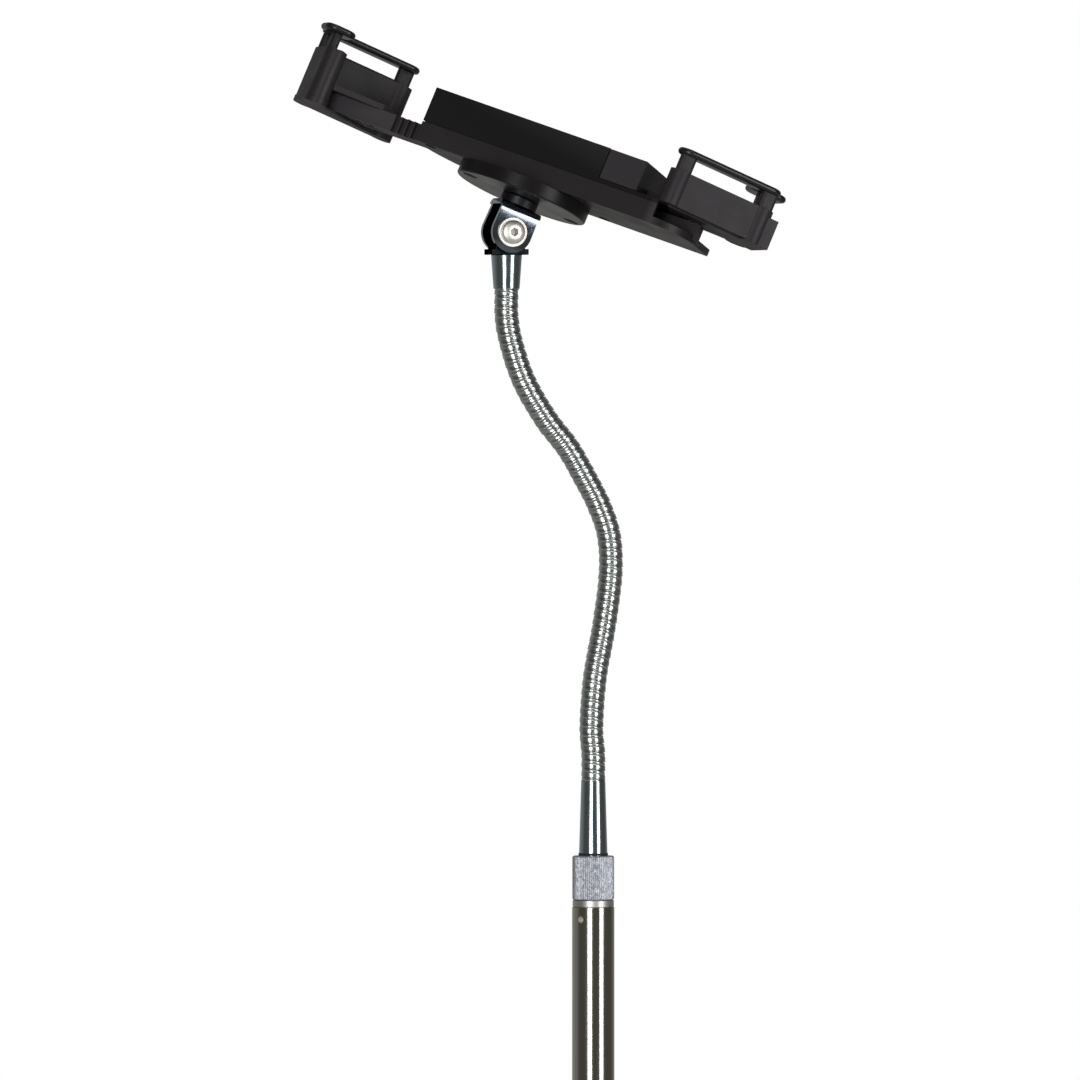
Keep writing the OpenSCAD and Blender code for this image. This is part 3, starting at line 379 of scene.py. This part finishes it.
# The node's own faces, merged and with flat areas joined, then bevelled along their sharp edges. Corner
# normals follow the large flat faces, so that these reflect as flat.
def makeEdged(node, width, plan, fold=None):
    sharp = math.radians(plan["sharpAngle"])
    mesh = nodes[node].data.copy()
    mesh.name = node + "Edged"
    mesh.materials.clear()
    work = bmesh.new()
    work.from_mesh(mesh)
    bmesh.ops.remove_doubles(work, verts=work.verts, dist=weldGap)
    flatAngle = math.radians(plan["flatAngle"])
    bmesh.ops.dissolve_limit(work, angle_limit=flatAngle, verts=work.verts, edges=work.edges)
    if fold:
        weight = work.edges.layers.float.new("bevel_weight_edge")
        up = Vector(fold["up"]).normalized()
        for edge in work.edges:
            sides = [face.normal for face in edge.link_faces]
            topMeets = any(n.dot(up) > plan["facing"] for n in sides)
            folded = topMeets and any(abs(n.y) > plan["facing"] for n in sides)
            edge[weight] = 1.0 if folded else width / fold["width"] * (edge.calc_face_angle(0) > sharp)
    work.to_mesh(mesh)
    work.free()
    mesh.shade_smooth()
    piece = bpy.data.objects.new(node + "Edged", mesh)
    bpy.context.scene.collection.objects.link(piece)
    bevel = piece.modifiers.new("brokenEdge", "BEVEL")
    bevel.width = (fold["width"] if fold else width) * mm
    bevel.segments = plan["foldSteps"] if fold else plan["steps"]
    bevel.limit_method = "WEIGHT" if fold else "ANGLE"
    bevel.angle_limit = sharp
    flat = piece.modifiers.new("flatFaces", "WEIGHTED_NORMAL")
    flat.weight = plan["flatWeight"]
    return standFor(piece, node)


for name, width in edgeWidths.items():
    makeEdged(name, width, edging, folds.get(name))
print("edges broken on", len(edgeWidths), "pieces")


# Lip bars: flat bars with fully rounded rims. Places are in mm in the holder's own frame, which leans with it.
lipBars = {
    "thick": 3.5, "low": 38.9, "rim": 1.6, "around": 128, "rimSteps": 9, "sharp": 40.0,
    "bars": {
        "left_long_lip": {"centre": (-86.5, 72.1), "half": (28.5, 6.5), "corner": 6.5},
        "left_short_lip": {"centre": (-111.3, 55.65), "half": (8.7, 9.65), "corner": 6.0},
        "right_long_lip": {"centre": (78.0, -75.1), "half": (30.0, 6.5), "corner": 6.5},
        "right_short_lip": {"centre": (105.55, -57.65), "half": (9.95, 10.65), "corner": 6.0},
    },
}


# From the holder's frame (along p, across q, up n from its deck) to the shared frame
def fromHolder(p, q, n):
    up = n + headPlace["deck"]
    x = headPlace["x"] + p * headUp[2] + up * headUp[0]
    z = headPlace["pinZ"] - p * headUp[0] + up * headUp[2]
    return np.stack([x, q, z], -1) * mm


# Rounded rectangle drawn in towards its middle: round the outline the first way, and the second way from the
# underside's middle, out, over the half-round rim and back to the middle of the top
def makeLip(node, bar, plan):
    a = np.linspace(0, 2 * np.pi, plan["around"], endpoint=False)
    sideX = np.sign(np.cos(a))
    sideY = np.sign(np.sin(a))
    turn = np.linspace(-np.pi / 2, np.pi / 2, plan["rimSteps"])
    inset = np.concatenate([[bar["corner"]], plan["rim"] * (1 - np.cos(turn)), [bar["corner"]]])
    half = plan["thick"] / 2
    rise = np.concatenate([[-half], half * np.sin(turn), [half]])
    radius = bar["corner"] - inset[None, :]
    reachX = sideX * (bar["half"][0] - bar["corner"])
    reachY = sideY * (bar["half"][1] - bar["corner"])
    p = bar["centre"][0] + reachX[:, None] + radius * np.cos(a)[:, None]
    q = bar["centre"][1] + reachY[:, None] + radius * np.sin(a)[:, None]
    n = np.broadcast_to(plan["low"] + half + rise, p.shape)
    piece = gridPiece(node + "Bar", fromHolder(p, q, n), wrapU=True)
    weld(piece.data, fill=True)
    smoothUpTo(piece.data, plan["sharp"])
    return standFor(piece, node)


for name, bar in lipBars["bars"].items():
    makeLip(name, bar, lipBars)
print("lip bars made:", len(lipBars["bars"]))


# Gooseneck: strip-wound metal hose, one start; a raised band with a rolled lip and a lower band make up each
# turn. The route is x and z in mm from the lower ferrule's mouth.
neckHose = {
    "route": [(0, 0), (0, 14), (-1, 29), (1, 55), (6, 82), (9.5, 109), (8.5, 129), (3, 145), (-5, 160),
              (-14, 175), (-26, 190), (-38, 210), (-45, 230), (-47.5, 244), (-47.5, 258)],
    "share": [0.0, 0.02, 0.05, 0.09, 0.13, 0.3, 0.48, 0.57, 0.6, 0.63, 0.66, 0.77, 0.88, 0.92, 0.95, 0.98],
    "drop": [0.62, 0.1, -0.12, -0.1, 0.06, 0.0, 0.04, 0.12, 0.36, 0.36, 0.24, 0.17, 0.24, 0.5, 0.95, 1.0],
    "outer": 6.35, "wall": 1.6, "pitch": 4.7, "spigot": 12.0, "cutDrop": 0.3, "spareLaps": 3,
    "uneven": 0.1, "depthWaves": (2.3, 0.7), "shift": 0.05, "placeWaves": (3.6, 1.55),
    "around": 48, "stepMm": 1.0, "perSpan": 24, "sharp": 50.0,
}


# Catmull-Rom curve through the route's points, then points at equal steps along it
def smoothRoute(route, perSpan, stepMm):
    knots = np.array(route, float)
    knots = np.vstack([2 * knots[0] - knots[1], knots, 2 * knots[-1] - knots[-2]])
    a, b, c, d = (knots[k:len(knots) - 3 + k, None, :] for k in range(4))
    t = np.linspace(0, 1, perSpan, endpoint=False)[None, :, None]
    linear = (c - a) * t
    square = (2 * a - 5 * b + 4 * c - d) * t ** 2
    cube = (3 * b - a - 3 * c + d) * t ** 3
    fine = 0.5 * (2 * b + linear + square + cube)
    fine = np.vstack([fine.reshape(-1, 2), knots[-2]])
    along = np.concatenate([[0], np.cumsum(np.linalg.norm(np.diff(fine, axis=0), axis=1))])
    s = np.linspace(0, along[-1], int(along[-1] / stepMm) + 1)
    line = np.stack([np.interp(s, along, fine[:, 0]), np.interp(s, along, fine[:, 1])], -1)
    return s, line


# A helix of one band: the grid's rows lie round the hose, its columns at the listed shares of each turn, so
# many millimetres under the crest. A turn's place is its number less the share of the way round. Slow sines
# over the turns make them a little uneven in depth and spacing, as hand-bent strip is. Both ends are cut
# square.
def makeNeckHose(plan):
    s, line = smoothRoute(plan["route"], plan["perSpan"], plan["stepMm"])
    tangent = np.gradient(line, axis=0)
    tangent /= np.linalg.norm(tangent, axis=1, keepdims=True)
    phi = np.linspace(0, 2 * np.pi, plan["around"], endpoint=False)[:, None]
    laps = np.arange(int(s[-1] / plan["pitch"]) + plan["spareLaps"])
    count = (laps[:, None] + np.array(plan["share"])).reshape(-1)
    drop = np.tile(plan["drop"], len(laps))
    lap = np.repeat(laps, len(plan["share"])) - phi / (2 * np.pi)
    place = count - phi / (2 * np.pi)
    fast, slow = plan["depthWaves"]
    radius = plan["outer"] - drop - plan["uneven"] * (0.5 + 0.5 * np.sin(lap * fast) * np.cos(lap * slow))
    long, short = plan["placeWaves"]
    at = plan["pitch"] * (place + plan["shift"] * (np.sin(place / long) + np.sin(place / short)))
    radius = np.where((at > 0) & (at < s[-1]), radius, plan["outer"] - plan["cutDrop"])
    at = np.clip(at, 0, s[-1])
    forwardX, forwardZ = (np.interp(at, s, tangent[:, k]) for k in (0, 1))
    x = np.interp(at, s, line[:, 0]) + radius * np.cos(phi) * forwardZ
    z = np.interp(at, s, line[:, 1]) - radius * np.cos(phi) * forwardX
    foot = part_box("lower_ferrule")[1].z / mm - plan["spigot"]
    points = np.stack([x, radius * np.sin(phi), z + foot], -1) * mm
    piece = gridPiece("neckHose", points, wrapU=True, winding=len(plan["share"]))
    weld(piece.data)
    smoothUpTo(piece.data, plan["sharp"])
    wall = piece.modifiers.new("stripWall", "SOLIDIFY")
    wall.thickness = plan["wall"] * mm
    wall.offset = -1.0
    return piece


standFor(makeNeckHose(neckHose), "gooseneck")
print("gooseneck made")


# Knurled collar: a turned ring whose outside carries fine straight teeth
knurl = {
    "bore": 7.2, "rimChamfer": 0.6, "bands": 30, "teeth": 66, "perTooth": 6, "depth": 0.34, "sharp": 20.0,
    "torn": 0.07, "tornPerMm": 7.1, "tornSwing": 40.0, "tornTurns": 17,
}


# Closed profile of radius and height carried round the pole, with a triangle wave on the band between the rims
# and a small ripple up each tooth where the wheel tore it
def makeCollar(plan):
    low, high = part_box("knurled_collar")
    z0 = low.z / mm
    z1 = high.z / mm
    r = (high.x - low.x) / 2 / mm
    bore = plan["bore"]
    c = plan["rimChamfer"]
    band = np.linspace(z0 + c, z1 - c, plan["bands"])
    profile = [(bore, z0, 0), (r - c, z0, 0)] + [(r, z, 1) for z in band] + [(r - c, z1, 0), (bore, z1, 0)]
    rad, height, ridged = np.array(profile, float).T
    phi = np.linspace(0, 2 * np.pi, plan["teeth"] * plan["perTooth"], endpoint=False)
    wave = np.abs((phi * plan["teeth"] / (2 * np.pi)) % 1 - 0.5) * 2
    swing = plan["tornSwing"] * np.sin(phi * plan["tornTurns"])
    torn = 0.5 + 0.5 * np.sin(height[None, :] * plan["tornPerMm"] + swing[:, None])
    radius = rad[None, :] - ridged[None, :] * (plan["depth"] * wave[:, None] + plan["torn"] * torn)
    x = radius * np.cos(phi)[:, None]
    y = radius * np.sin(phi)[:, None]
    points = np.stack([x, y, np.broadcast_to(height, radius.shape)], -1) * mm
    piece = gridPiece("knurledCollar", points, wrapU=True, wrapV=True)
    smoothUpTo(piece.data, plan["sharp"])
    return piece


standFor(makeCollar(knurl), "knurled_collar")
print("knurled collar made")


# Studio: pale floor, white surround, two upright softboxes in front, a small one overhead, and dark cards that
# only reflections see. Lengths are in metres.
studio = {
    "floor": "#e4e4e2", "floorPatch": "#ededeb", "floorReach": 4.0, "floorRough": 0.8,
    "mottleMm": 60.0, "mottleDetail": 2.0, "surround": "#ffffff", "ambient": 0.45, "aim": 1.1,
    "boxes": [
        {"azimuth": -35.5, "distance": 2.2, "size": (0.75, 1.6), "level": 1.1, "power": 20.0},
        {"azimuth": 28.5, "distance": 2.2, "size": (0.7, 1.6), "level": 1.1, "power": 18.0},
        {"azimuth": 6.0, "distance": 1.2, "size": (0.9, 0.6), "level": 2.4, "power": 4.0},
    ],
    "cards": "#50504c", "backCards": "#9a9a98", "floorCards": "#80807c", "backFrom": 0.3, "floorFade": 0.25,
    "cardLow": 0.02, "cardRadius": 3.0, "cardTop": 2.6, "roofTop": 3.4, "roofRadius": 0.5,
    "skirtRadius": 0.45, "around": 48,
}


def makeFloor(plan):
    material, tree, shader, where = newMaterial("floorPaintedBoard")
    mottle = noise(tree, where, plan["mottleMm"], plan["mottleDetail"])
    tree.links.new(mixTones(tree, mottle, plan["floor"], plan["floorPatch"]), shader.inputs["Base Color"])
    shader.inputs["Roughness"].default_value = plan["floorRough"]
    side = np.linspace(-plan["floorReach"], plan["floorReach"], 3)
    x, y = np.meshgrid(side, side, indexing="ij")
    floor = gridPiece("floor", np.stack([x, y, np.zeros_like(x)], -1))
    floor.data.materials.append(material)


# The surround is full white where it is seen or mirrored, and lights the part more weakly
def makeSurround(plan):
    world = bpy.data.worlds.new("surround")
    world.use_nodes = True
    bpy.context.scene.world = world
    tree = world.node_tree
    tree.nodes.clear()
    path = addNode(tree, "ShaderNodeLightPath")
    seen = path.outputs["Is Camera Ray"]
    for other in ("Is Glossy Ray", "Is Transmission Ray"):
        seen = addNode(tree, "ShaderNodeMath", {"operation": "MAXIMUM"},
                       {0: seen, 1: path.outputs[other]}).outputs[0]
    white = hexToLinear(plan["surround"])
    light = addNode(tree, "ShaderNodeBackground", {"Color": white, "Strength": plan["ambient"]})
    shown = addNode(tree, "ShaderNodeBackground", {"Color": white, "Strength": 1.0})
    mix = addNode(tree, "ShaderNodeMixShader", links={0: seen, 1: light.outputs[0], 2: shown.outputs[0]})
    addNode(tree, "ShaderNodeOutputWorld", links={"Surface": mix.outputs[0]})


def makeSoftbox(box, aimLevel):
    a = math.radians(box["azimuth"])
    data = bpy.data.lights.new("softbox", "AREA")
    data.shape = "RECTANGLE"
    data.size, data.size_y = box["size"]
    data.energy = box["power"]
    lamp = bpy.data.objects.new("softbox", data)
    bpy.context.scene.collection.objects.link(lamp)
    lamp.location = (box["distance"] * math.sin(a), -box["distance"] * math.cos(a), box["level"])
    aim = Vector((0, 0, aimLevel)) - lamp.location
    lamp.rotation_euler = aim.to_track_quat("-Z", "Y").to_euler()


# Cards all round and over the floor, paler towards the back, with a sloping roof: a ring carried through
# four levels
def makeCards(plan):
    material, tree, shader, where = newMaterial("studioCardDark")
    depth = addNode(tree, "ShaderNodeSeparateXYZ", links={0: where})
    back = remap(tree, depth.outputs["Y"], (plan["backFrom"], plan["cardRadius"]), (0.0, 1.0))
    low = remap(tree, depth.outputs["Z"], (plan["cardLow"], plan["floorFade"]), (1.0, 0.0))
    tone = mixTones(tree, back, plan["cards"], plan["backCards"])
    tone = mixTones(tree, low, tone, plan["floorCards"])
    tree.links.new(tone, shader.inputs["Emission Color"])
    shader.inputs["Emission Strength"].default_value = 1.0
    shader.inputs["Base Color"].default_value = hexToLinear("#000000")
    shader.inputs["Roughness"].default_value = 1.0
    shader.inputs["Specular IOR Level"].default_value = 0.0
    phi = np.linspace(0, 2 * np.pi, plan["around"], endpoint=False)[:, None]
    radius, height = np.array([
        (plan["skirtRadius"], plan["cardLow"]), (plan["cardRadius"], plan["cardLow"]),
        (plan["cardRadius"], plan["cardTop"]), (plan["roofRadius"], plan["roofTop"])]).T
    x = radius * np.cos(phi)
    walls = np.stack([x, radius * np.sin(phi), np.broadcast_to(height, x.shape)], -1)
    card = gridPiece("reflectionCards", walls, wrapU=True)
    card.data.materials.append(material)
    card.visible_camera = False
    card.visible_diffuse = False
    card.visible_shadow = False
    card.visible_transmission = False


makeFloor(studio)
makeSurround(studio)
for box in studio["boxes"]:
    makeSoftbox(box, studio["aim"])
makeCards(studio)
print("studio set")
